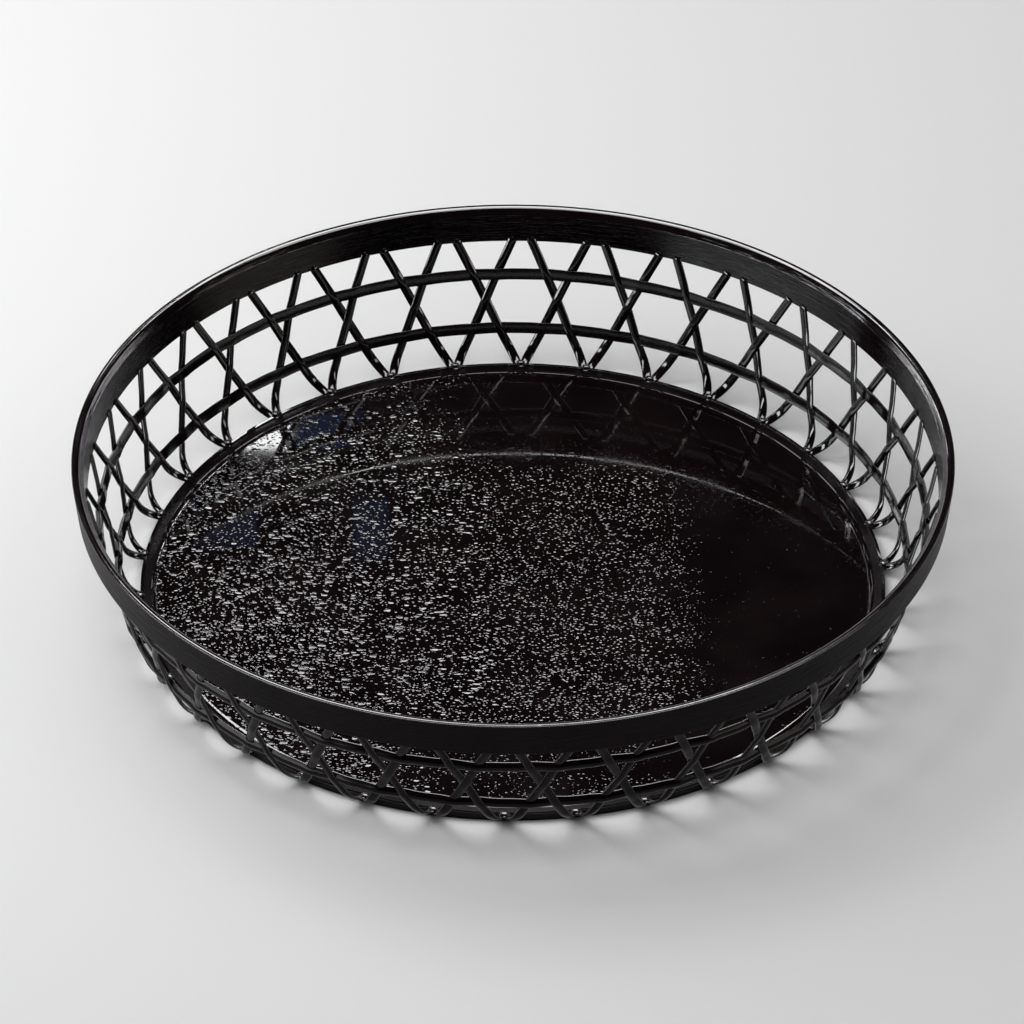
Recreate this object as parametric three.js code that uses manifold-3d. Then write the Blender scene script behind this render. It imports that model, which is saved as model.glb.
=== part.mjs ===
import * as THREE from 'three';
import { mergeVertices } from 'three/addons/utils/BufferGeometryUtils.js';
import Module from 'manifold-3d';

// A low round basket with an open lattice wall, in millimetres. +Z is up, and the origin is on
// the ground at the centre of the base. Azimuths run clockwise from +Y as seen from above, and
// one V of the lattice stands at +Y.

// The whole basket
const rimRadius = 125;
const basketHeight = 47.5;

// Rim band: a smooth strip that leans outward, with a bevel down from its top land to its inside
const bandHeight = 10.5;
const bandThickness = 3.2;
const bandLeanDegrees = 6.3;
const bandTopChamfer = 0.5;
const bevelWidth = 1.1;
const bevelDrop = 1.8;

// Base ring: a foot with a low lip outside and a ledge for the floor inside
const baseRadius = 106.8;
const lipHeight = 2.2;
const lipWidth = 3.2;
const lipChamfer = 0.5;
const ledgeWidth = 6;
const ledgeThickness = 0.7;

// Floor plate that lies on the ledge
const floorThickness = 1.1;

// Lattice of bent strands, each a V with two legs and one foot
const strandCount = 34;
const strandWidth = 2.6;
const strandThickness = 1.4;
const bendRadius = 7.3;
const footAngleDegrees = 78;
const footLift = 1;
const footInset = 0.4;
const footHalfGap = 1.4;
const crossingLift = 0.35;
const tipLap = 2;
const tipBite = 0.5;

// Tab that joins the two legs and sits in a notch of the base ring
const tabThickness = 1.1;
const tabShoulder = 0.2;
const tabOverhang = 1;
const tabBackWall = 0.8;

// Two hoops woven through the lattice
const hoopSpacing = 16.3;
const hoopHeight = 3.3;
const hoopThickness = 1.6;

// Room left between neighbouring pieces, and how far a cut runs past what it cuts
const clearance = 0.3;
const overcut = 2;

// How finely curved pieces are divided, and the flaw that a flat face may have
const ringSegments = 2 * strandCount;
const bendSteps = 3;
const bendProbe = 0.05;
const flatness = 0.002;

const degree = Math.PI / 180;
const pitch = (2 * Math.PI) / strandCount;

const manifoldLibrary = await Module();
manifoldLibrary.setup();

/** Turns a closed geometry into a solid, with its faces pointing out. */
function toSolid(geometry) {
  const bare = geometry.index ? geometry.clone() : geometry;
  bare.deleteAttribute('normal');
  bare.deleteAttribute('uv');
  const merged = mergeVertices(bare);
  const vertProperties = Float32Array.from(merged.attributes.position.array);
  const triVerts = Uint32Array.from(merged.index.array);
  return new manifoldLibrary.Manifold(
    new manifoldLibrary.Mesh({ numProp: 3, vertProperties, triVerts }),
  );
}

/** Turns a solid back into a geometry, with its flat faces in as few triangles as they need. */
function toGeometry(solid) {
  const mesh = solid.asOriginal().simplify(flatness).getMesh();
  const geometry = new THREE.BufferGeometry();
  geometry.setAttribute('position', new THREE.BufferAttribute(mesh.vertProperties, 3));
  geometry.setIndex(new THREE.BufferAttribute(mesh.triVerts, 1));
  geometry.computeVertexNormals();
  return geometry;
}

/** Radius of the band's outer face at a height. */
function bandOuterRadius(height) {
  const drop = basketHeight - bandTopChamfer - height;
  return rimRadius - drop * Math.tan(bandLeanDegrees * degree);
}

/**
 * Lays out the middle surface of the lattice wall as a radius and a height against the length
 * that is measured down the wall from the band's lower edge. It is a straight flare, then a bend
 * that is tangent to it and ends in the base ring at the foot's angle.
 */
function layOutWall() {
  const bandLow = basketHeight - bandHeight;
  const bandInner = bandOuterRadius(bandLow) - bandThickness;
  const top = new THREE.Vector2(bandInner + tipBite - strandThickness / 2, bandLow);
  const end = new THREE.Vector2(baseRadius - footInset, footLift + strandThickness / 2);
  const endAngle = footAngleDegrees * degree;
  const centre = new THREE.Vector2(
    end.x - bendRadius * Math.cos(endAngle),
    end.y + bendRadius * Math.sin(endAngle),
  );
  const reach = centre.clone().sub(top);
  const flare = Math.atan2(-reach.x, -reach.y) - Math.asin(bendRadius / reach.length());
  const straight = Math.sqrt(reach.lengthSq() - bendRadius ** 2);
  return { top, end, centre, flare, straight, length: straight + bendRadius * (endAngle - flare) };
}

const wall = layOutWall();

/** Angle between the wall and the vertical at a length down the wall. */
function wallAngle(along) {
  return wall.flare + Math.max(0, along - wall.straight) / bendRadius;
}

/** Radius and height at a length down the wall, moved outward through its thickness by depth. */
function wallPoint(along, depth) {
  const angle = wallAngle(along);
  const point = new THREE.Vector2(Math.cos(angle), -Math.sin(angle));
  if (along <= wall.straight) {
    point.multiplyScalar(depth).add(wall.top);
    point.x -= along * Math.sin(angle);
    point.y -= along * Math.cos(angle);
    return point;
  }
  return point.multiplyScalar(bendRadius + depth).add(wall.centre);
}

/** Length down the wall at which its middle surface has a height. */
function wallLengthAt(height) {
  const bendTop = wallPoint(wall.straight, 0).y;
  if (height >= bendTop) {
    return (wall.top.y - height) / Math.cos(wall.flare);
  }
  const angle = Math.asin((wall.centre.y - height) / bendRadius);
  return wall.straight + bendRadius * (angle - wall.flare);
}

// The legs cross half way between two feet, a little above the middle of the open wall.
const middleHeight = (wall.top.y + wall.end.y) / 2;
const crossingHeight = middleHeight + crossingLift;
const crossingLength = wallLengthAt(crossingHeight);
const footTurn = footHalfGap / wall.end.x;
const turnPerLength = (pitch / 2 - footTurn) / (wall.length - crossingLength);
const tipLength = -tipLap / Math.cos(wall.flare);

/** How far round from its foot a leg has gone at a length down the wall. */
function legTurn(along) {
  return pitch / 2 + turnPerLength * (crossingLength - along);
}

/** A point of a leg on the wall's middle surface, at a length down the wall. */
function legPoint(along, side, turn) {
  const azimuth = turn + side * legTurn(along);
  const { x: radius, y: height } = wallPoint(along, 0);
  return new THREE.Vector3(radius * Math.sin(azimuth), radius * Math.cos(azimuth), height);
}

/**
 * A leg's centre at a length down the wall, with its directions out of the wall, down the leg and
 * across it. Down to its bend the leg is one straight bar, and in the bend it follows the wall.
 */
function legFrame(along, side, turn) {
  const bent = along > wall.straight;
  const from = bent ? along - bendProbe : tipLength;
  const to = bent ? along + bendProbe : wall.straight;
  const start = legPoint(from, side, turn);
  const finish = legPoint(to, side, turn);
  const down = finish.clone().sub(start).normalize();
  const azimuth = turn + side * legTurn((from + to) / 2);
  const angle = wallAngle((from + to) / 2);
  const normal = new THREE.Vector3(Math.sin(azimuth), Math.cos(azimuth), -Math.tan(angle));
  normal.addScaledVector(down, -normal.dot(down)).normalize();
  const across = new THREE.Vector3().crossVectors(normal, down);
  const centre = start.lerp(finish, (along - from) / (to - from));
  return { centre, normal, down, across };
}

/** Four corners of a leg's section, moved down the leg from its frame. */
function legSection(frame, width, [inner, outer], shift = 0) {
  const centre = frame.centre.clone().addScaledVector(frame.down, shift);
  const corner = (sideways, depth) =>
    centre.clone().addScaledVector(frame.across, sideways).addScaledVector(frame.normal, depth);
  const half = width / 2;
  return [corner(-half, inner), corner(half, inner), corner(half, outer), corner(-half, outer)];
}

/** Closes a row of equal sections into one bar. */
function skinSections(sections) {
  const corners = sections[0].length;
  const indices = [];
  for (let ring = 0; ring + 1 < sections.length; ring += 1) {
    for (let corner = 0; corner < corners; corner += 1) {
      const here = ring * corners + corner;
      const next = ring * corners + ((corner + 1) % corners);
      indices.push(here, next, next + corners);
      indices.push(here, next + corners, here + corners);
    }
  }
  const last = (sections.length - 1) * corners;
  for (let corner = 1; corner + 1 < corners; corner += 1) {
    indices.push(0, corner + 1, corner);
    indices.push(last, last + corner, last + corner + 1);
  }
  const geometry = new THREE.BufferGeometry().setFromPoints(sections.flat());
  geometry.setIndex(indices);
  return geometry;
}

/** A whole leg as a bent bar: side 1 climbs clockwise and side -1 the other way. */
function legBar(side) {
  const stations = [tipLength];
  for (let step = 0; step <= bendSteps; step += 1) {
    stations.push(wall.straight + ((wall.length - wall.straight) * step) / bendSteps);
  }
  const sections = stations.map((along) =>
    legSection(legFrame(along, side, 0), strandWidth, [innerFace, outerFace]),
  );
  return toSolid(skinSections(sections));
}

/** Straight room for a leg, from one shift down the leg to another, over a range of depths. */
function legRoom(along, side, turn, [from, to], depths) {
  const frame = legFrame(along, side, turn);
  const ends = [from, to].map((shift) => legSection(frame, slotWidth, depths, shift));
  return toSolid(skinSections(ends));
}

/** A ring turned from a closed outline of radii and heights. */
function turnRing(outline) {
  const lathe = new THREE.LatheGeometry([...outline, outline[0]], ringSegments);
  return toSolid(lathe.rotateX(Math.PI / 2));
}

/** A hoop in the wall at a height, with its own height along the wall and a range of depths. */
function hoopRing(height, tall, inner, outer) {
  const middle = wallLengthAt(height);
  return turnRing([
    wallPoint(middle + tall / 2, inner),
    wallPoint(middle + tall / 2, outer),
    wallPoint(middle - tall / 2, outer),
    wallPoint(middle - tall / 2, inner),
  ]);
}

/** The foot's tab, grown by a margin on every side, with its top raised as wanted. */
function footTab(margin, topRaise) {
  const halfWidth = footHalfGap + strandWidth / 2 + tabShoulder + margin;
  const innerEnd = baseRadius - lipWidth + tabBackWall + clearance - margin;
  const outerEnd = baseRadius + tabOverhang + margin;
  const shape = new THREE.Shape([
    new THREE.Vector2(-halfWidth, innerEnd),
    new THREE.Vector2(halfWidth, innerEnd),
    new THREE.Vector2(halfWidth, outerEnd),
    new THREE.Vector2(-halfWidth, outerEnd),
  ]);
  const depth = tabThickness + margin + topRaise;
  const geometry = new THREE.ExtrudeGeometry(shape, { depth, bevelEnabled: false });
  return toSolid(geometry.translate(0, 0, footLift - margin));
}

const hoopHeights = [middleHeight + hoopSpacing / 2, middleHeight - hoopSpacing / 2];
const innerFace = -strandThickness / 2;
const outerFace = strandThickness / 2;
const slotWidth = strandWidth + 2 * clearance;
const slotHeight = hoopHeight + 2 * clearance;
const slotReach = slotWidth + slotHeight;

/** The layer that a half lap takes away: the outer half for side 1 and the inner half for -1. */
function lapLayer(side) {
  return side > 0 ? [-clearance / 2, outerFace + overcut] : [innerFace - overcut, clearance / 2];
}

/**
 * One leg with its half laps. A clockwise leg keeps its inner half where it crosses the
 * neighbour's leg and its outer half at the hoops, and an anticlockwise leg does the opposite.
 */
function lappedLeg(side) {
  const stretch = [-slotReach, slotReach];
  let leg = legBar(side);
  leg = leg.subtract(legRoom(crossingLength, -side, side * pitch, stretch, lapLayer(side)));
  for (const height of hoopHeights) {
    leg = leg.subtract(hoopRing(height, slotHeight, ...lapLayer(-side)));
  }
  return leg;
}

/** One V of the lattice: two lapped legs on a common foot. */
function latticeStrand() {
  return lappedLeg(1).add(lappedLeg(-1)).add(footTab(0, 0));
}

/** A hoop, notched on its outside for the clockwise legs and on its inside for the others. */
function latticeHoop(height) {
  const middle = wallLengthAt(height);
  const stretch = [-slotReach, slotReach];
  let hoop = hoopRing(height, hoopHeight, -hoopThickness / 2, hoopThickness / 2);
  for (let strand = 0; strand < strandCount; strand += 1) {
    for (const side of [1, -1]) {
      hoop = hoop.subtract(legRoom(middle, side, strand * pitch, stretch, lapLayer(side)));
    }
  }
  return hoop;
}

/** The rim band, with a pocket in its inner face for every tip of the lattice. */
function rimBand() {
  const low = basketHeight - bandHeight;
  const face = (height, depth) => new THREE.Vector2(bandOuterRadius(height) - depth, height);
  const outward = (point, distance) => point.add(new THREE.Vector2(distance, 0));
  let band = turnRing([
    face(low, bandThickness),
    face(low, 0),
    face(basketHeight - bandTopChamfer, 0),
    outward(face(basketHeight, 0), -bandTopChamfer),
    outward(face(basketHeight, bandThickness), bevelWidth),
    face(basketHeight - bevelDrop, bandThickness),
  ]);
  const stretch = [-clearance, slotReach];
  const depths = [innerFace - overcut, outerFace + clearance];
  for (let strand = 0; strand < strandCount; strand += 1) {
    for (const side of [1, -1]) {
      band = band.subtract(legRoom(tipLength, side, strand * pitch, stretch, depths));
    }
  }
  return band;
}

/** The base ring: foot, lip and ledge, with a notch for the foot of every strand. */
function baseRing() {
  const seatRadius = baseRadius - lipWidth;
  let ring = turnRing([
    new THREE.Vector2(seatRadius - ledgeWidth, 0),
    new THREE.Vector2(baseRadius, 0),
    new THREE.Vector2(baseRadius, lipHeight - lipChamfer),
    new THREE.Vector2(baseRadius - lipChamfer, lipHeight),
    new THREE.Vector2(seatRadius, lipHeight),
    new THREE.Vector2(seatRadius, ledgeThickness),
    new THREE.Vector2(seatRadius - ledgeWidth, ledgeThickness),
  ]);
  const notch = footTab(clearance, overcut);
  for (let strand = 0; strand < strandCount; strand += 1) {
    ring = ring.subtract(notch.rotate([0, 0, (-strand * pitch) / degree]));
  }
  return ring;
}

/** The floor plate, a disc that drops into the base ring. */
function floorPlate() {
  const radius = baseRadius - lipWidth - clearance;
  const disc = new THREE.CylinderGeometry(radius, radius, floorThickness, ringSegments);
  disc.rotateX(Math.PI / 2);
  return toSolid(disc.translate(0, 0, ledgeThickness + floorThickness / 2));
}

/** Glossy black plastic. */
function blackPlastic(roughness) {
  return new THREE.MeshStandardMaterial({ color: 0x0c0b0d, roughness, metalness: 0 });
}

/** A named piece of the basket. */
function piece(name, geometry, roughness) {
  const mesh = new THREE.Mesh(geometry, blackPlastic(roughness));
  mesh.name = name;
  return mesh;
}

const basket = new THREE.Group();
basket.add(piece('rim_band', toGeometry(rimBand()), 0.35));
basket.add(piece('upper_hoop', toGeometry(latticeHoop(hoopHeights[0])), 0.3));
basket.add(piece('lower_hoop', toGeometry(latticeHoop(hoopHeights[1])), 0.3));
basket.add(piece('base_ring', toGeometry(baseRing()), 0.3));
basket.add(piece('floor_plate', toGeometry(floorPlate()), 0.2));

const strandGeometry = toGeometry(latticeStrand());
for (let strand = 0; strand < strandCount; strand += 1) {
  const number = String(strand + 1).padStart(2, '0');
  const lattice = piece(`lattice_strand_${number}`, strandGeometry, 0.25);
  lattice.rotation.z = -strand * pitch;
  basket.add(lattice);
}

export default basket;
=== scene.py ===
"""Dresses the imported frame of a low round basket, moulded in glossy black plastic as an open weave.

Lengths are in metres, +Z is up and the origin is on the ground at the centre of the base. Azimuths
run clockwise from +Y as seen from above, and one V of the lattice stands at +Y.
"""

import logging
import math
from dataclasses import dataclass, field
from enum import Enum

import bpy
import numpy as np
from mathutils import Matrix, Vector


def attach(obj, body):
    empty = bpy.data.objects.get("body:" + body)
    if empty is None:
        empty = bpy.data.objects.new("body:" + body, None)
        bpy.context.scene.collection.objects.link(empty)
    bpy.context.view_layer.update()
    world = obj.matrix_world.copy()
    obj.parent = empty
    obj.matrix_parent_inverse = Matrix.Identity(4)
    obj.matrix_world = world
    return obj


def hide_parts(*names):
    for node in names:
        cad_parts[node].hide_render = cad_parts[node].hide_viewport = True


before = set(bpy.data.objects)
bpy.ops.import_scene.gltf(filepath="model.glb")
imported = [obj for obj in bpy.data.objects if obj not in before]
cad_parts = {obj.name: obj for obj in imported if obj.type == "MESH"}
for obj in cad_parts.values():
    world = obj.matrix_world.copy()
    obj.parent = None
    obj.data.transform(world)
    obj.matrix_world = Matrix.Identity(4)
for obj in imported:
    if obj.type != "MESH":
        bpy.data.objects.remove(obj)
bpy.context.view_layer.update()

LOG = logging.getLogger("basket")
MM = 0.001
FULL_TURN = 2 * math.pi
SHADING_GUARD = 0.02 * MM
PLAN = "plan"
SATIN = "satin"
HAMMERED = "hammered"


class Slot(Enum):
    """Material slots of the part's record."""

    RIM = "rim_plastic"
    LATTICE = "lattice_plastic"
    TRAY = "tray_plastic"


class Side(Enum):
    """Which way a leg of the lattice turns as it climbs, as seen from above."""

    CLOCKWISE = 1
    ANTICLOCKWISE = -1


class Ends(Enum):
    """How the first and last rows of a grid are closed."""

    JOINED = "joined"
    CAPPED = "capped"


class Reach(Enum):
    """How a softbox works: it lights the room and no gloss mirrors it, or only gloss shows it."""

    ROOM = "room"
    GLOSS = "gloss"


# Meshes from grids of points


def climb(value: np.ndarray, start: float, reach: float) -> np.ndarray:
    """Climbs evenly from 0 at a start to 1 a reach further on, and is level on both sides of that."""
    return np.clip((value - start) / reach, 0, 1)


def bump(offset: np.ndarray, width: float) -> np.ndarray:
    """Gives a smooth bump of height 1, exp(-(offset / width) squared)."""
    return np.exp(-((offset / width) ** 2))


def paired(first: np.ndarray, second: np.ndarray) -> np.ndarray:
    """Pairs every value of a first list with every value of a second, a row for each of the first."""
    return np.stack(np.meshgrid(first, second, indexing="ij"), axis=-1)


def in_scene(name: str, data: bpy.types.ID) -> bpy.types.Object:
    """Makes an object and links it into the scene.

    Args:
        name: Name of the object.
        data: Its mesh, lamp or camera.

    Returns:
        The object.
    """
    thing = bpy.data.objects.new(name, data)
    bpy.context.scene.collection.objects.link(thing)
    return thing


@dataclass
class Grid:
    """A closed surface as rows of points, each row a closed loop.

    points holds rows x loop x 3 places. plan holds (rows + 1) x (loop + 1) x 2 lengths along the
    surface, one more than the points each way so that a closed loop doesn't run backwards at its seam.
    tones holds one value for each point under each attribute's name.
    """

    points: np.ndarray
    plan: np.ndarray
    ends: Ends
    tones: dict[str, np.ndarray]

    def cells(self) -> tuple[np.ndarray, np.ndarray]:
        """Numbers the quads by their first corners.

        Returns:
            The row and the column of the first corner of each quad.
        """
        rows, loop = self.points.shape[:2]
        bands = rows if self.ends is Ends.JOINED else rows - 1
        first = paired(np.arange(bands), np.arange(loop))
        return first[..., 0], first[..., 1]

    def faces(self) -> tuple[np.ndarray, np.ndarray]:
        """Works out the faces as indices into the points, with an extra point for each cap.

        Returns:
            The quads, and the triangles of the caps.
        """
        rows, loop = self.points.shape[:2]
        row, column = self.cells()
        after_row = (row + 1) % rows
        after_column = (column + 1) % loop
        quads = np.stack(
            [
                row * loop + column,
                row * loop + after_column,
                after_row * loop + after_column,
                after_row * loop + column,
            ],
            axis=-1,
        ).reshape(-1, 4)
        if self.ends is Ends.JOINED:
            return quads, np.zeros((0, 3), int)
        column = np.arange(loop)
        after_column = (column + 1) % loop
        last = (rows - 1) * loop
        first_hub = np.full(loop, rows * loop)
        first = np.stack([first_hub, after_column, column], axis=1)
        final = np.stack([first_hub + 1, last + column, last + after_column], axis=1)
        return quads, np.concatenate([first, final])

    def vertices(self) -> np.ndarray:
        """Lists the vertices.

        Returns:
            The points, followed by the middle of each capped row.
        """
        flat = self.points.reshape(-1, 3)
        if self.ends is Ends.JOINED:
            return flat
        return np.concatenate([flat, self.points[[0, -1]].mean(axis=1)])

    def vertex_tones(self, name: str) -> np.ndarray:
        """Lists one attribute in the order of the vertices.

        Args:
            name: The attribute's name.

        Returns:
            One value for each vertex, 0 where the surface doesn't have the attribute.
        """
        tone = np.broadcast_to(self.tones.get(name, np.zeros(())), self.points.shape[:2])
        if self.ends is Ends.JOINED:
            return tone.reshape(-1)
        return np.concatenate([tone.reshape(-1), tone[[0, -1]].mean(axis=1)])

    def corner_plan(self) -> np.ndarray:
        """Lists the plan lengths at the corners of the faces.

        Returns:
            Two lengths for each corner, in the order of the faces.
        """
        rows, loop = self.points.shape[:2]
        row, column = self.cells()
        quads = np.stack(
            [
                self.plan[row, column],
                self.plan[row, column + 1],
                self.plan[row + 1, column + 1],
                self.plan[row + 1, column],
            ],
            axis=2,
        ).reshape(-1, 2)
        if self.ends is Ends.JOINED:
            return quads
        column = np.arange(loop)
        caps = []
        for end, order in ((0, (column + 1, column)), (rows - 1, (column, column + 1))):
            hub = np.broadcast_to(self.plan[end].mean(axis=0), (loop, 2))
            corners = [hub, self.plan[end, order[0]], self.plan[end, order[1]]]
            caps.append(np.stack(corners, axis=1).reshape(-1, 2))
        return np.concatenate([quads, *caps])

    def turned_out(self) -> bool:
        """Finds which way the faces point, from the sign of the volume that they enclose.

        Returns:
            Whether they point outwards.
        """
        place = self.vertices()
        quads, caps = self.faces()
        triangles = np.concatenate([quads[:, [0, 1, 2]], quads[:, [0, 2, 3]], caps])
        first, second, third = (place[triangles[:, corner]] for corner in range(3))
        return float(np.einsum("ij,ij->", first, np.cross(second, third))) > 0


def make_piece(name: str, grids: list[Grid]) -> bpy.types.Object:
    """Makes one smooth mesh object from closed grids.

    Args:
        name: Name of the piece.
        grids: Surfaces that make it up.

    Returns:
        The object, at the origin, with its plan lengths as a UV map and its tones as attributes.
    """
    places, faces, plans, first = [], [], [], 0
    for grid in grids:
        flip = not grid.turned_out()
        corners = grid.corner_plan()
        taken = 0
        for polygons in grid.faces():
            sides = polygons.shape[1]
            used = corners[taken : taken + polygons.size].reshape(-1, sides, 2)
            taken += polygons.size
            order = slice(None, None, -1 if flip else 1)
            faces.extend((polygons[:, order] + first).tolist())
            plans.append(used[:, order].reshape(-1, 2))
        places.append(grid.vertices())
        first += len(places[-1])
    mesh = bpy.data.meshes.new(name)
    mesh.from_pydata(np.concatenate(places), [], faces)
    mesh.polygons.foreach_set("use_smooth", np.ones(len(faces), bool))
    layer = mesh.uv_layers.new(name=PLAN)
    layer.data.foreach_set("uv", np.concatenate(plans).astype(np.float32).ravel())
    for tone in (SATIN, HAMMERED):
        values = np.concatenate([grid.vertex_tones(tone) for grid in grids])
        attribute = mesh.attributes.new(tone, "FLOAT", "POINT")
        attribute.data.foreach_set("value", values.astype(np.float32))
    mesh.update()
    return in_scene(name, mesh)


def rounded_outline(corners: list[tuple[float, float, float]], steps: int) -> np.ndarray:
    """Rounds each corner of a closed outline with an arc.

    An arc of radius r in a corner of half angle h starts r / tan(h) from the corner and has its
    centre r / sin(h) from it, on the line that halves the corner. Its points are turned from the
    first tangent point to the second in even steps.

    Args:
        corners: Both coordinates of each corner, and the radius of its arc.
        steps: Steps along each arc.

    Returns:
        The outline's points, n * (steps + 1) x 2.
    """
    table = np.array(corners)
    place, radii = table[:, :2], table[:, 2:]
    back = np.roll(place, 1, axis=0) - place
    ahead = np.roll(place, -1, axis=0) - place
    back /= np.linalg.norm(back, axis=1, keepdims=True)
    ahead /= np.linalg.norm(ahead, axis=1, keepdims=True)
    half = np.arccos(np.clip((back * ahead).sum(axis=1, keepdims=True), -1, 1)) / 2
    reach = radii / np.tan(half)
    middle = back + ahead
    middle /= np.linalg.norm(middle, axis=1, keepdims=True)
    centre = place + middle * radii / np.sin(half)
    start = (place + back * reach - centre)[:, None, :]
    finish = (place + ahead * reach - centre)[:, None, :]
    turn = (math.pi - 2 * half)[:, None, :]
    share = np.linspace(0, 1, steps + 1)[None, :, None]
    arc = (np.sin((1 - share) * turn) * start + np.sin(share * turn) * finish) / np.sin(turn)
    return (centre[:, None, :] + arc).reshape(-1, 2)


def lengths_round(outline: np.ndarray) -> np.ndarray:
    """Measures a closed outline from its first point.

    Args:
        outline: Points of the outline, n x 2.

    Returns:
        The length to each point and, last, all the way round.
    """
    closed = np.concatenate([outline, outline[:1]])
    step = np.linalg.norm(np.diff(closed, axis=0), axis=1)
    return np.concatenate([[0.0], np.cumsum(step)])


def divided(outline: np.ndarray, longest: float) -> np.ndarray:
    """Divides the sides of a closed outline evenly until none is longer than a length.

    Args:
        outline: Points of the outline, n x 2.
        longest: The longest length that a side may have.

    Returns:
        The outline with the new points in their places.
    """
    closed = np.concatenate([outline, outline[:1]])
    along = lengths_round(outline)
    counts = np.maximum(1, np.ceil(np.diff(along) / longest)).astype(int)
    starts = np.repeat(along[:-1], counts)
    share = np.arange(counts.sum()) - np.repeat(np.cumsum(counts) - counts, counts)
    wanted = starts + share * np.repeat(np.diff(along) / counts, counts)
    return np.stack([np.interp(wanted, along, closed[:, axis]) for axis in (0, 1)], axis=1)


def guarded(outline: np.ndarray) -> np.ndarray:
    """Adds a point just inside both ends of every long side of a closed outline.

    Smooth shading then turns only over the short length next to an arc, and the side stays flat. A
    long side is one of more than six times that length.

    Args:
        outline: Points of the outline, n x 2.

    Returns:
        The outline with the new points in their places.
    """
    closed = np.concatenate([outline, outline[:1]])
    along = lengths_round(outline)
    long_side = np.diff(along) > 6 * SHADING_GUARD
    after = along[:-1][long_side] + SHADING_GUARD
    before = along[1:][long_side] - SHADING_GUARD
    wanted = np.sort(np.concatenate([along[:-1], after, before]))
    return np.stack([np.interp(wanted, along, closed[:, axis]) for axis in (0, 1)], axis=1)


def turned_ring(outline: np.ndarray, segments: int, tones: dict[str, np.ndarray]) -> Grid:
    """Turns a closed outline of radii and heights about the Z axis.

    A point at radius r and height z goes to (r sin a, r cos a, z) for azimuths a all the way round.

    Args:
        outline: Radii and heights, either n x 2 or segments x n x 2 where they change on the way round.
        segments: Divisions of the full turn.
        tones: Attributes of the outline's points.

    Returns:
        A grid with one row for each azimuth.
    """
    azimuth = np.arange(segments) * FULL_TURN / segments
    section = np.broadcast_to(outline, (segments, *outline.shape[-2:]))
    radius, height = section[..., 0], section[..., 1]
    points = np.stack(
        [radius * np.sin(azimuth)[:, None], radius * np.cos(azimuth)[:, None], height], axis=-1
    )
    around = np.arange(segments + 1) * FULL_TURN / segments * radius.max()
    down = lengths_round(section[0])
    return Grid(points, paired(around, down), Ends.JOINED, tones)


def lens_outline(
    width: float, thickness: float, edge: float, steps: int, edge_steps: int
) -> np.ndarray:
    """Lays out a lens: two equal arcs whose meeting edges are rounded.

    Each arc's points are a radius r = (w squared + t squared) / 2t about a centre on the axis,
    where w and t are the half width and half thickness less the edge's radius. The whole is then
    moved outward by the edge's radius, which turns the two corners into small arcs.

    Args:
        width: Whole width, along the first coordinate.
        thickness: Whole thickness, along the second.
        edge: Radius of the rounded edges.
        steps: Steps along each face.
        edge_steps: Steps round each edge.

    Returns:
        The outline's points, n x 2.
    """
    half_width, half_thickness = width / 2 - edge, thickness / 2 - edge
    radius = (half_width**2 + half_thickness**2) / (2 * half_thickness)
    limit = math.asin(half_width / radius)
    swing = np.linspace(-limit, limit, steps + 1)
    height = (radius + edge) * np.cos(swing) - radius + half_thickness
    face = np.stack([(radius + edge) * np.sin(swing), height], axis=1)
    turn = np.linspace(limit, math.pi - limit, edge_steps + 1)[1:-1]
    corner = np.stack([half_width + edge * np.sin(turn), edge * np.cos(turn)], axis=1)
    return np.concatenate([face, corner, -face, -corner])


# The lattice wall


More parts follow.
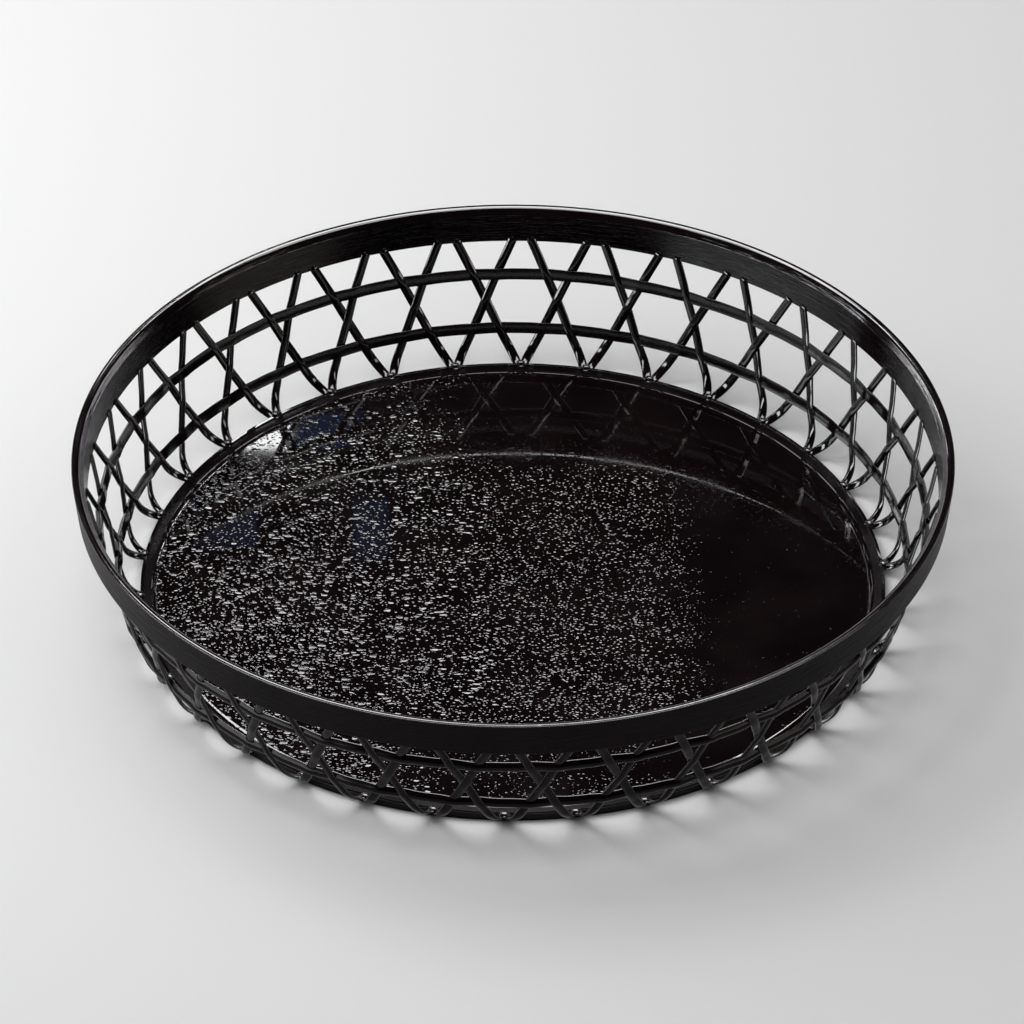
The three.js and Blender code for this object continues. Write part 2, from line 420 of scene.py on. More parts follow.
@dataclass(frozen=True)
class Wall:
    """Middle surface of the lattice wall, and the lines on it that the strands and hoops follow.

    It is measured by the length down the wall from the rim band's lower edge. It flares in a
    straight line and then bends in under the basket, tangent to the flare, to end in the base ring.
    """

    top_radius: float = 120.5 * MM
    top_height: float = 37 * MM
    end_radius: float = 106.4 * MM
    end_height: float = 1.7 * MM
    end_angle: float = math.radians(78)
    bend_radius: float = 7.3 * MM
    strands: int = 34
    foot_half_gap: float = 1.4 * MM
    toe_in: float = 0.8 * MM
    toe_rise: float = 1.5 * MM
    toe_reach: float = 6.4 * MM
    crossing_lift: float = 0.35 * MM
    hoop_spacing: float = 16.3 * MM
    tip_lap: float = 1.5 * MM

    @property
    def bend_centre(self) -> tuple[float, float]:
        """Middle of the bend: its end, moved back by its radius along the normal there.

        Returns:
            Radius and height.
        """
        return (
            self.end_radius - self.bend_radius * math.cos(self.end_angle),
            self.end_height + self.bend_radius * math.sin(self.end_angle),
        )

    @property
    def straight(self) -> float:
        """Straight part of the wall: a tangent from the top to the bend's circle.

        Returns:
            Its length.
        """
        radius, height = self.bend_centre
        reach = math.hypot(self.top_radius - radius, self.top_height - height)
        return math.sqrt(reach**2 - self.bend_radius**2)

    @property
    def flare(self) -> float:
        """Lean of the straight part, less by the tangent's angle than the line to the bend's centre.

        Returns:
            Angle from the vertical.
        """
        radius, height = self.bend_centre
        across, down = self.top_radius - radius, self.top_height - height
        return math.atan2(across, down) - math.atan2(self.bend_radius, self.straight)

    @property
    def length(self) -> float:
        """Length of the whole wall."""
        return self.straight + self.bend_radius * (self.end_angle - self.flare)

    @property
    def pitch(self) -> float:
        """Angle between neighbouring strands."""
        return FULL_TURN / self.strands

    @property
    def crossing_length(self) -> float:
        """Length down the wall at which neighbouring legs cross."""
        return self.length_at(self.middle_height + self.crossing_lift)

    @property
    def middle_height(self) -> float:
        """Height of the middle of the open wall."""
        return (self.top_height + self.end_height) / 2

    @property
    def hoop_lengths(self) -> tuple[float, float]:
        """Lengths down the wall of the upper and the lower hoop."""
        half = self.hoop_spacing / 2
        return self.length_at(self.middle_height + half), self.length_at(self.middle_height - half)

    def length_at(self, height: float) -> float:
        """Gives the length down the wall of a height on its straight flare."""
        return (self.top_height - height) / math.cos(self.flare)

    def angle(self, along: np.ndarray) -> np.ndarray:
        """Gives the wall's angle from the vertical: the flare, and in the bend more by length / radius."""
        return self.flare + np.maximum(0, along - self.straight) / self.bend_radius

    def section(self, along: np.ndarray, depth: np.ndarray) -> tuple[np.ndarray, np.ndarray]:
        """Places points on the wall's section.

        On the flare a point goes down its straight line and in the bend round its circle, and both
        are then moved along the outward normal (cos a, -sin a), where a is the wall's angle.

        Args:
            along: Lengths down the wall.
            depth: Distances outward from the middle surface.

        Returns:
            Radii and heights.
        """
        angle = self.angle(along)
        down = np.minimum(along, self.straight)
        centre_radius, centre_height = self.bend_centre
        bent = along > self.straight
        radius = np.where(
            bent,
            centre_radius + self.bend_radius * np.cos(angle),
            self.top_radius - down * math.sin(self.flare),
        )
        height = np.where(
            bent,
            centre_height - self.bend_radius * np.sin(angle),
            self.top_height - down * math.cos(self.flare),
        )
        return radius + depth * np.cos(angle), height - depth * np.sin(angle)

    def leg_turn(self, along: np.ndarray) -> np.ndarray:
        """Gives how far round from its foot a leg has gone.

        It is half a pitch where the leg crosses its neighbour, and elsewhere in proportion to the
        length down the wall, less a bump near the foot that draws the two legs together.

        Args:
            along: Lengths down the wall.

        Returns:
            Angles.
        """
        foot = self.foot_half_gap / self.end_radius
        rate = (self.pitch / 2 - foot) / (self.length - self.crossing_length)
        drawn = bump(along - self.length + self.toe_rise, self.toe_reach)
        return (
            self.pitch / 2 + rate * (self.crossing_length - along)
            - self.toe_in / self.end_radius * drawn
        )

    def places(self, along: np.ndarray, azimuth: np.ndarray, depth: np.ndarray) -> np.ndarray:
        """Turns points of the wall's section to their azimuths."""
        radius, height = self.section(along, depth)
        return np.stack([radius * np.sin(azimuth), radius * np.cos(azimuth), height], axis=-1)

    def normals(self, along: np.ndarray, azimuth: np.ndarray) -> np.ndarray:
        """Gives the wall's outward normals.

        Args:
            along: Lengths down the wall.
            azimuth: Azimuths of the places.

        Returns:
            Unit vectors, n x 3.
        """
        angle = self.angle(along)
        level = np.cos(angle)
        return np.stack(
            [level * np.sin(azimuth), level * np.cos(azimuth), -np.sin(angle)], axis=-1
        )


# Shader groups


class Nodes:
    """A node tree that is being built, with short ways to place and join its nodes."""

    def __init__(self, tree: bpy.types.NodeTree) -> None:
        """Keeps the tree."""
        self.tree = tree

    def add(self, kind: str, **settings: object) -> bpy.types.Node:
        """Places a node and sets its properties.

        Args:
            kind: The node's type name.
            settings: Values of its properties by name.

        Returns:
            The node.
        """
        node = self.tree.nodes.new(kind)
        for name, value in settings.items():
            setattr(node, name, value)
        return node

    def feed(self, node: bpy.types.Node, **inputs: object) -> bpy.types.Node:
        """Gives each named input of a node a value, or joins it to a socket.

        Args:
            node: The node to feed.
            inputs: Values or sockets by the input's name, with _ for each space.

        Returns:
            The same node.
        """
        for name, value in inputs.items():
            key = int(name[1:]) if name[1:].isdigit() else name.replace("_", " ")
            if isinstance(value, bpy.types.NodeSocket):
                self.tree.links.new(value, node.inputs[key])
            else:
                node.inputs[key].default_value = value
        return node

    def group(self, tree: bpy.types.NodeTree, **inputs: object) -> bpy.types.Node:
        """Places a shared group and feeds it."""
        return self.feed(self.add("ShaderNodeGroup", node_tree=tree), **inputs)

    def place(self) -> bpy.types.NodeSocket:
        """Gives the place on the object."""
        return self.add("ShaderNodeTexCoord").outputs["Object"]

    def plan(self) -> bpy.types.NodeSocket:
        """Gives the lengths along the piece's surface."""
        return self.add("ShaderNodeUVMap", uv_map=PLAN).outputs["UV"]

    def tone(self, name: str) -> bpy.types.NodeSocket:
        """Gives one of the piece's attributes."""
        return self.add("ShaderNodeAttribute", attribute_name=name).outputs["Fac"]

    def math(self, operation: str, *operands: object) -> bpy.types.NodeSocket:
        """Places a Math node.

        Args:
            operation: Name of the operation.
            operands: Its values or sockets, in their order.

        Returns:
            The result.
        """
        node = self.add("ShaderNodeMath", operation=operation)
        fed = self.feed(node, **{f"i{order}": operand for order, operand in enumerate(operands)})
        return fed.outputs[0]

    def scaled(self, vector: bpy.types.NodeSocket, scale: object) -> bpy.types.NodeSocket:
        """Multiplies a vector by a number and returns the result."""
        node = self.add("ShaderNodeVectorMath", operation="SCALE")
        return self.feed(node, Vector=vector, Scale=scale).outputs["Vector"]

    def ramp(
        self, value: object, low: float, high: float, to_low: object = 0.0, to_high: object = 1.0
    ) -> bpy.types.NodeSocket:
        """Maps a range smoothly onto another and holds it at both ends.

        Args:
            value: The value to map.
            low: Start of the range.
            high: End of the range.
            to_low: Result at the start.
            to_high: Result at the end.

        Returns:
            The result.
        """
        node = self.add("ShaderNodeMapRange", interpolation_type="SMOOTHSTEP")
        fed = self.feed(node, Value=value, From_Min=low, From_Max=high, To_Min=to_low, To_Max=to_high)
        return fed.outputs["Result"]

    def noise(self, vector: object, scale: object, detail: float = 2.0) -> bpy.types.NodeSocket:
        """Places a Noise Texture and returns its value."""
        node = self.add("ShaderNodeTexNoise")
        return self.feed(node, Vector=vector, Scale=scale, Detail=detail).outputs["Fac"]

    def bump(
        self, height: object, distance: float, normal: object = None
    ) -> bpy.types.NodeSocket:
        """Places a Bump node.

        Args:
            height: Height, from 0 to 1.
            distance: Depth in metres of a height of 1.
            normal: An earlier normal to lay it over, if there is one.

        Returns:
            The new normal.
        """
        node = self.feed(self.add("ShaderNodeBump"), Height=height, Distance=distance)
        if normal is not None:
            self.feed(node, Normal=normal)
        return node.outputs["Normal"]


def new_group(
    name: str, inputs: dict[str, object], outputs: tuple[str, ...]
) -> tuple[Nodes, bpy.types.Node, bpy.types.Node]:
    """Starts a shader node group.

    Args:
        name: Name of the group.
        inputs: Default of each input by name: a number, or None for a vector.
        outputs: Names of its number outputs.

    Returns:
        The group's nodes, its input node and its output node.
    """
    tree = bpy.data.node_groups.new(name, "ShaderNodeTree")
    for label, value in inputs.items():
        kind = "NodeSocketVector" if value is None else "NodeSocketFloat"
        socket = tree.interface.new_socket(label, in_out="INPUT", socket_type=kind)
        if value is not None:
            socket.default_value = value
    for label in outputs:
        tree.interface.new_socket(label, in_out="OUTPUT", socket_type="NodeSocketFloat")
    nodes = Nodes(tree)
    return nodes, nodes.add("NodeGroupInput"), nodes.add("NodeGroupOutput")


def droplet_group() -> bpy.types.NodeTree:
    """Builds the pear-skin grain of the mould: low round droplets scattered on a smooth face.

    Each cell of a Voronoi pattern holds one droplet, which falls smoothly to nothing at a distance
    that its cell picks at random, and some cells hold none. A slow noise moves the cells about.

    Returns:
        A group that puts out the droplets' height, the greater the wider they are, up to 0.55.
    """
    nodes, given, result = new_group(
        "droplet_grain", {"Vector": None, "Per Metre": 400.0, "Fill": 0.6}, ("Height",)
    )
    wander = nodes.add("ShaderNodeTexNoise")
    nodes.feed(wander, Vector=given.outputs["Vector"], Scale=90.0, Detail=1.0)
    warp = nodes.scaled(wander.outputs["Color"], 4 * MM)
    shifted = nodes.feed(nodes.add("ShaderNodeVectorMath"), i0=given.outputs["Vector"], i1=warp)
    place = nodes.scaled(shifted.outputs["Vector"], given.outputs["Per Metre"])
    cells = nodes.feed(nodes.add("ShaderNodeTexVoronoi"), Vector=place, Scale=1.0, Randomness=1.0)
    chance = nodes.feed(nodes.add("ShaderNodeSeparateColor"), Color=cells.outputs["Color"])
    size = nodes.math("MULTIPLY_ADD", chance.outputs["Red"], 0.35, 0.2)
    reach = nodes.math("DIVIDE", cells.outputs["Distance"], size)
    dome = nodes.ramp(reach, 0.0, 1.0, 1.0, 0.0)
    there = nodes.math("LESS_THAN", chance.outputs["Green"], given.outputs["Fill"])
    full = nodes.math("MULTIPLY", dome, size)
    nodes.feed(result, Height=nodes.math("MULTIPLY", full, there))
    return nodes.tree


def streak_group() -> bpy.types.NodeTree:
    """Builds the draw marks that a turned mould leaves, as streaks along a piece.

    Noise is stretched along the piece's own length, and a second, slower noise bends the streaks.

    Returns:
        A group that puts out the streaks' height and a tone, both from 0 to 1.
    """
    nodes, given, result = new_group(
        "draw_marks", {"Plan": None, "Across Per Metre": 2500.0, "Stretch": 0.02}, ("Height", "Tone")
    )
    parts = nodes.feed(nodes.add("ShaderNodeSeparateXYZ"), Vector=given.outputs["Plan"])
    slow = nodes.noise(given.outputs["Plan"], 60.0, 1.0)
    bend = nodes.math("MULTIPLY_ADD", slow, 1.2 * MM, parts.outputs["Y"])
    along = nodes.math("MULTIPLY", parts.outputs["X"], given.outputs["Stretch"])
    joined = nodes.feed(nodes.add("ShaderNodeCombineXYZ"), X=along, Y=bend)
    fine = nodes.noise(joined.outputs["Vector"], given.outputs["Across Per Metre"], 3.0)
    nodes.feed(result, Height=fine, Tone=nodes.ramp(fine, 0.35, 0.65))
    return nodes.tree


def skin_group() -> bpy.types.NodeTree:
    """Builds the fine unevenness of moulded plastic.

    Returns:
        A group that puts out a fine height and a broad tone, both from 0 to 1.
    """
    nodes, given, result = new_group(
        "moulded_skin", {"Vector": None, "Fine Per Metre": 3000.0, "Broad Per Metre": 40.0},
        ("Height", "Tone"),
    )
    fine = nodes.noise(given.outputs["Vector"], given.outputs["Fine Per Metre"], 2.0)
    broad = nodes.noise(given.outputs["Vector"], given.outputs["Broad Per Metre"], 2.0)
    nodes.feed(result, Height=fine, Tone=nodes.ramp(broad, 0.3, 0.7))
    return nodes.tree


@dataclass(frozen=True)
class GrainGroups:
    """The shader groups that the finishes share."""

    droplets: bpy.types.NodeTree = field(default_factory=droplet_group)
    streaks: bpy.types.NodeTree = field(default_factory=streak_group)
    skin: bpy.types.NodeTree = field(default_factory=skin_group)


@dataclass(frozen=True)
class BlackPlastic:
    """Black moulded plastic, the base of every finish of the basket.

    The roughness grows by its spread with a tone, and the pigment is up to pigment_gain times as
    light where the broad tone of the skin is 1.
    """

    name: str
    color: tuple[float, float, float] = (0.0034, 0.0018, 0.0021)
    pigment_gain: float = 1.9
    roughness: float = 0.05
    roughness_spread: float = 0.08
    index: float = 1.58
    grain_depth: float = 0.012 * MM

    def material(self, groups: GrainGroups) -> bpy.types.Material:
        """Builds the material from its surface and its uneven pigment.

        Args:
            groups: The shader groups that the finishes share.

        Returns:
            The material.
        """
        material = bpy.data.materials.new(self.name)
        material.use_nodes = True
        nodes = Nodes(material.node_tree)
        shader = material.node_tree.nodes["Principled BSDF"]
        skin = nodes.group(groups.skin, Vector=nodes.place())
        roughness, normal = self.surface(nodes, groups, skin)
        lighter = tuple(self.pigment_gain * part for part in self.color)
        mix = nodes.add("ShaderNodeMix", data_type="RGBA")
        nodes.feed(mix, Factor=skin.outputs["Tone"], i6=(*self.color, 1.0), i7=(*lighter, 1.0))
        nodes.feed(shader, IOR=self.index, Metallic=0.0, Roughness=self.roughness)
        nodes.feed(shader, Base_Color=(*self.color, 1.0))
        nodes.feed(shader, Base_Color=mix.outputs[2], Roughness=roughness, Normal=normal)
        return material

    def uneven(self, nodes: Nodes, tone: bpy.types.NodeSocket) -> bpy.types.NodeSocket:
        """Adds the roughness's spread times a tone to the roughness."""
        return nodes.math("MULTIPLY_ADD", tone, self.roughness_spread, self.roughness)

    def surface(
        self, nodes: Nodes, groups: GrainGroups, skin: bpy.types.Node
    ) -> tuple[bpy.types.NodeSocket, bpy.types.NodeSocket]:
        """Builds the surface, here from the skin's fine unevenness alone.

        Args:
            nodes: The material's nodes.
            groups: The shader groups that the finishes share.
            skin: The placed group of the moulded skin.

        Returns:
            The roughness and the normal.
        """
        normal = nodes.bump(skin.outputs["Height"], self.grain_depth)
        roughness = self.uneven(nodes, skin.outputs["Tone"])
        return roughness, normal


@dataclass(frozen=True)
class DrawnPlastic(BlackPlastic):
    """Finish of the rim band's outer face: dull, with fine draw marks along it."""

    name: str = "rim_black_drawn"
    roughness: float = 0.36
    roughness_spread: float = 0.12
    index: float = 1.145
    streak_depth: float = 0.15 * MM
    streak_stretch: float = 0.03

    def surface(
        self, nodes: Nodes, groups: GrainGroups, skin: bpy.types.Node
    ) -> tuple[bpy.types.NodeSocket, bpy.types.NodeSocket]:
        """Builds the surface from the draw marks.

        Args:
            nodes: The material's nodes.
            groups: The shader groups that the finishes share.
            skin: The placed group of the moulded skin.

        Returns:
            The roughness and the normal.
        """
        marks = nodes.group(groups.streaks, Plan=nodes.plan(), Stretch=self.streak_stretch)
        normal = nodes.bump(marks.outputs["Height"], self.streak_depth)
        return self.uneven(nodes, marks.outputs["Tone"]), normal


@dataclass(frozen=True)
class RimPlastic(BlackPlastic):
    """Finish of the rim band inside and on top: a gloss with draw marks, and a dimpled land.

    The dimples are long ones, and on the land only land_streaks of the draw marks' depth is left.
    """

    name: str = "rim_black"
    dimples_per_metre: float = 1100.0
    dimple_fill: float = 0.95
    dimple_stretch: float = 0.3
    dimple_depth: float = 0.02 * MM
    streak_depth: float = 0.09 * MM
    streak_stretch: float = 0.03
    land_streaks: float = 0.1

    def surface(
        self, nodes: Nodes, groups: GrainGroups, skin: bpy.types.Node
    ) -> tuple[bpy.types.NodeSocket, bpy.types.NodeSocket]:
        """Builds the surface from the draw marks and, on the land, the dimples.

        Args:
            nodes: The material's nodes.
            groups: The shader groups that the finishes share.
            skin: The placed group of the moulded skin.

        Returns:
            The roughness and the normal.
        """
        plan, hammered = nodes.plan(), nodes.tone(HAMMERED)
        drawn_out = nodes.feed(
            nodes.add("ShaderNodeMapping"), Vector=plan, Scale=(self.dimple_stretch, 1.0, 1.0)
        )
        drops = nodes.group(
            groups.droplets, Vector=drawn_out.outputs["Vector"],
            Per_Metre=self.dimples_per_metre, Fill=self.dimple_fill,
        )
        marks = nodes.group(groups.streaks, Plan=plan, Stretch=self.streak_stretch)
        calm = nodes.math("MULTIPLY_ADD", hammered, self.land_streaks - 1.0, 1.0)
        streaks = nodes.math("MULTIPLY", marks.outputs["Height"], calm)
        dimples = nodes.math("MULTIPLY", drops.outputs["Height"], hammered)
        normal = nodes.bump(streaks, self.streak_depth)
        normal = nodes.bump(dimples, self.dimple_depth, normal)
        return self.uneven(nodes, marks.outputs["Tone"]), normal


@dataclass(frozen=True)
class LatticePlastic(BlackPlastic):
    """Finish of the strands and hoops inside and on their edges: polished."""

    name: str = "lattice_black"
    index: float = 1.65


@dataclass(frozen=True)
class DullLatticePlastic(BlackPlastic):
    """Finish of the outer faces of the strands and hoops, and of most of the foot: satin."""

    name: str = "lattice_black_dull"
    roughness: float = 0.14
    index: float = 1.2


@dataclass(frozen=True)
class TrayPlastic(BlackPlastic):
    """Finish of the base tray: a mirror gloss under a raised pear-skin grain.

    Coarse and fine droplets are both a little drawn out along one direction. The coarse ones fade
    from their full height at coarse_full to coarse_least of it at coarse_end, towards +X.
    """

    name: str = "tray_black"
    roughness: float = 0.02
    roughness_spread: float = 0.04
    coarse_per_metre: float = 620.0
    coarse_fill: float = 0.5
    coarse_depth: float = 0.36 * MM
    coarse_full: float = -50 * MM
    coarse_end: float = 15 * MM
    coarse_least: float = 0.15
    fine_per_metre: float = 1450.0
    fine_fill: float = 0.9
    fine_depth: float = 0.085 * MM
    grain_turn: float = math.radians(27)
    grain_stretch: float = 0.6

    def surface(
        self, nodes: Nodes, groups: GrainGroups, skin: bpy.types.Node
    ) -> tuple[bpy.types.NodeSocket, bpy.types.NodeSocket]:
        """Builds the surface from two sizes of droplets.

        Args:
            nodes: The material's nodes.
            groups: The shader groups that the finishes share.
            skin: The placed group of the moulded skin.

        Returns:
            The roughness and the normal.
        """
        where, hammered = nodes.place(), nodes.tone(HAMMERED)
        turned = nodes.feed(
            nodes.add("ShaderNodeMapping"), Vector=where, Rotation=(0.0, 0.0, -self.grain_turn),
            Scale=(self.grain_stretch, 1.0, 1.0),
        ).outputs["Vector"]
        coarse = nodes.group(
            groups.droplets, Vector=turned, Per_Metre=self.coarse_per_metre, Fill=self.coarse_fill
        )
        fine = nodes.group(
            groups.droplets, Vector=turned, Per_Metre=self.fine_per_metre, Fill=self.fine_fill
        )
        across = nodes.feed(nodes.add("ShaderNodeSeparateXYZ"), Vector=where).outputs["X"]
        fading = nodes.ramp(across, self.coarse_full, self.coarse_end, 1.0, self.coarse_least)
        strong = nodes.math("MULTIPLY", hammered, fading)
        large = nodes.math("MULTIPLY", coarse.outputs["Height"], strong)
        small = nodes.math("MULTIPLY", fine.outputs["Height"], hammered)
        normal = nodes.bump(small, self.fine_depth)
        normal = nodes.bump(large, self.coarse_depth, normal)
        roughest = self.roughness + self.roughness_spread
        return nodes.ramp(skin.outputs["Tone"], 0.0, 1.0, self.roughness, roughest), normal


# Pieces of the basket


def settle(
    piece: bpy.types.Object, node: str, slot: Slot, *materials: bpy.types.Material
) -> None:
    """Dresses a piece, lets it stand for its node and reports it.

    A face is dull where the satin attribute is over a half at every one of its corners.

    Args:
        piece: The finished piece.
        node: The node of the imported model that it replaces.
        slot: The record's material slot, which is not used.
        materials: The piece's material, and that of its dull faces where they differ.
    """
    mesh = piece.data
    for material in materials:
        mesh.materials.append(material)
    if len(materials) > 1:
        tone = np.zeros(len(mesh.vertices), np.float32)
        mesh.attributes[SATIN].data.foreach_get("value", tone)
        corner = np.zeros(len(mesh.loops), np.int32)
        mesh.loops.foreach_get("vertex_index", corner)
        start = np.zeros(len(mesh.polygons), np.int32)
        mesh.polygons.foreach_get("loop_start", start)
        least = np.minimum.reduceat(tone[corner], start)
        mesh.polygons.foreach_set("material_index", (least > 0.5).astype(np.int32))
    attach(piece, "root")
    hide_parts(node)
    LOG.info("%s stands for %s with %d faces", piece.name, node, len(piece.data.polygons))


@dataclass
class RimBand:
    """The smooth flared strip round the mouth.

    Its lengths named for a drop or a rise are measured from the top, and those named for the land or
    the crown from the outer face inward. Dimples lie above dimple_end and are full a dimple_fade
    higher, and the outer face is dull below glossy_drop.
    """

    radius: float = 124.965 * MM
    top: float = 47.5 * MM
    low: float = 37 * MM
    thickness: float = 3.2 * MM
    lean: float = math.radians(6.3)
    top_round: float = 0.5 * MM
    land: float = 0.72 * MM
    crown_rise: float = 0.05 * MM
    crown_out: float = 1.0 * MM
    crown_in: float = 1.95 * MM
    crown_drop: float = 0.15 * MM
    bevel_drop: float = 1.8 * MM
    ridge_drop: float = 0.95 * MM
    ridge_height: float = 0.05 * MM
    ridge_width: float = 0.18 * MM
    face_depth: float = 0.2 * MM
    glossy_drop: float = 0.25 * MM
    dimple_end: float = 0.72 * MM
    dimple_fade: float = 0.45 * MM
    segments: int = 720
    arc_steps: int = 6
    longest_side: float = 0.6 * MM

    def outer_radius(self, height: float) -> float:
        """Gives the outer face's radius, which grows with height by the tangent of the lean."""
        return self.radius - (self.top - self.top_round - height) * math.tan(self.lean)

    def outline(self) -> np.ndarray:
        """Lays out the section: outer face, rounded edge, land, low crown, bevel and inner face.

        Returns:
            Radii and heights, n x 2.
        """
        out, low_out = self.outer_radius(self.top), self.outer_radius(self.low)
        land_top = self.top - self.crown_rise
        bevel_foot = self.top - self.bevel_drop
        corners = [
            (low_out - self.thickness, self.low, 0.35 * MM),
            (low_out, self.low, 0.35 * MM),
            (out, land_top, 0.2 * MM),
            (out - self.land, land_top, 0.5 * MM),
            (out - self.crown_out, self.top, 0.4 * MM),
            (out - self.crown_in, self.top - self.crown_drop, 1.3 * MM),
            (self.outer_radius(bevel_foot) - self.thickness, bevel_foot, 0.45 * MM),
        ]
        return divided(guarded(rounded_outline(corners, self.arc_steps)), self.longest_side)

    def make(self) -> bpy.types.Object:
        """Turns the section round the mouth, with a faint ridge under the outer edge.

        The ridge is a bump in height whose size wanders round the rim as a sum of sines, and it
        moves points of the outer face outward.

        Returns:
            The piece.
        """
        outline = self.outline()
        radius, height = outline[:, 0], outline[:, 1]
        drop = self.top - height
        outer = radius > self.outer_radius(height) - self.face_depth
        azimuth = np.arange(self.segments)[:, None] * FULL_TURN / self.segments
        wander = 0.5 + 0.3 * np.sin(5 * azimuth + 1) + 0.3 * np.sin(13 * azimuth)
        ridge = bump(drop - self.ridge_drop, self.ridge_width) * outer * np.clip(wander, 0, 1)
        moved = np.broadcast_to(outline, (self.segments, *outline.shape)).copy()
        moved[..., 0] += self.ridge_height * ridge
        dimpled = climb(self.dimple_end - drop, 0, self.dimple_fade)
        satin = (outer & (drop > self.glossy_drop)).astype(float)
        tones = {SATIN: satin, HAMMERED: dimpled}
        return make_piece("rim", [turned_ring(moved, self.segments, tones)])


@dataclass
class WovenLattice:
    """The open wall: two hoops woven through bent strands, all fused where they cross.

    A strand is dull where it lies more than dull_depth outside its middle and for dull_tip at its
    ends, and a hoop where it lies more than hoop_gloss outside its inner face.
    """

    wall: Wall = field(default_factory=Wall)
    strand_width: float = 2.7 * MM
    strand_thickness: float = 1.15 * MM
    edge: float = 0.28 * MM
    tip_round: float = 0.9 * MM
    tip_share: float = 0.35
    dull_depth: float = 0.2 * MM
    dull_tip: float = 1.1 * MM
    hoop_height: float = 3.5 * MM
    hoop_thickness: float = 1.6 * MM
    hoop_side: float = 0.25 * MM
    hoop_crown: float = 0.45
    hoop_corner: float = 0.1 * MM
    hoop_edge: float = 1.35 * MM
    hoop_gloss: float = 0.24 * MM
    weave: float = 0.3 * MM
    weave_width: float = 2.6 * MM
    web_rise: float = 2.6 * MM
    web_lap: float = 0.2 * MM
    web_sag: float = 0.5 * MM
    web_thickness: float = 0.9 * MM
    bead_place: tuple[float, float] = (106.9 * MM, 2.75 * MM)
    bead_size: tuple[float, float, float] = (1.3 * MM, 0.95 * MM, 0.45 * MM)
    leg_stations: int = 72
    foot_stations: int = 13
    face_steps: int = 8
    edge_steps: int = 4
    arc_steps: int = 5
    web_steps: int = 10
    bead_rings: int = 12
    bead_sides: int = 16
    hoop_segments: int = 34 * 24

    def strand_depth(self, along: np.ndarray, side: Side) -> np.ndarray:
        """Gives how far outward a leg is pushed by the weave.

        A clockwise leg passes inside at its crossing with the neighbour and outside at the hoops,
        and an anticlockwise leg the other way round. Each push is a smooth bump.

        Args:
            along: Lengths down the wall.
            side: Which way the leg turns.

        Returns:
            Distances outward.
        """
        crossing = bump(along - self.wall.crossing_length, self.weave_width)
        hoops = sum(bump(along - place, self.weave_width) for place in self.wall.hoop_lengths)
        return self.weave * side.value * (hoops - crossing)

    def strand_path(self) -> tuple[np.ndarray, np.ndarray, np.ndarray]:
        """Lays out the middle line of one strand: down a leg, round its foot and up the other leg.

        The foot is half an ellipse on the wall: as wide as the legs stand apart at their lower
        ends, and foot_half_gap deep.

        Returns:
            Lengths down the wall, azimuths from the strand's axis, and depths.
        """
        wall = self.wall
        tip = -wall.tip_lap / math.cos(wall.flare)
        foot = wall.length - wall.foot_half_gap
        down = np.linspace(tip, foot, self.leg_stations)
        turn = np.linspace(0, math.pi, self.foot_stations + 2)[1:-1]
        foot_turn = wall.leg_turn(np.array(foot))
        along = np.concatenate([down, foot + wall.foot_half_gap * np.sin(turn), down[::-1]])
        azimuth = np.concatenate(
            [wall.leg_turn(down), foot_turn * np.cos(turn), -wall.leg_turn(down[::-1])]
        )
        depth = np.concatenate(
            [
                self.strand_depth(down, Side.CLOCKWISE),
                np.zeros(self.foot_stations),
                self.strand_depth(down[::-1], Side.ANTICLOCKWISE),
            ]
        )
        return along, azimuth, depth

    def strand_grid(self) -> Grid:
        """Carries the strand's lens-shaped section along its path.

        At each station the section lies across the path, between the wall's normal and its cross
        product with the path's direction. The section shrinks to a rounded tip at both ends.

        Returns:
            The strand's surface, with its axis at azimuth 0.
        """
        along, azimuth, depth = self.strand_path()
        centre = self.wall.places(along, azimuth, depth)
        forward = np.gradient(centre, axis=0)
        forward /= np.linalg.norm(forward, axis=1, keepdims=True)
        across = np.cross(self.wall.normals(along, azimuth), forward)
        across /= np.linalg.norm(across, axis=1, keepdims=True)
        normal = np.cross(forward, across)
        section = lens_outline(
            self.strand_width, self.strand_thickness, self.edge, self.face_steps, self.edge_steps
        )
        walked = np.concatenate([[0], np.cumsum(np.linalg.norm(np.diff(centre, axis=0), axis=1))])
        from_end = np.minimum(walked, walked[-1] - walked)
        roundness = climb(from_end, 0, self.tip_round)
        scale = self.tip_share + (1 - self.tip_share) * np.sqrt(1 - (1 - roundness) ** 2)
        sideways = (scale[:, None] * section[:, 0])[..., None]
        outward = (scale[:, None] * section[:, 1])[..., None]
        points = centre[:, None] + sideways * across[:, None] + outward * normal[:, None]
        plan = paired(np.append(walked, walked[-1]), lengths_round(section))
        tips = from_end[:, None] < self.dull_tip
        satin = ((section[:, 1] > self.dull_depth) | tips).astype(float)
        return Grid(points, plan, Ends.CAPPED, {SATIN: satin})

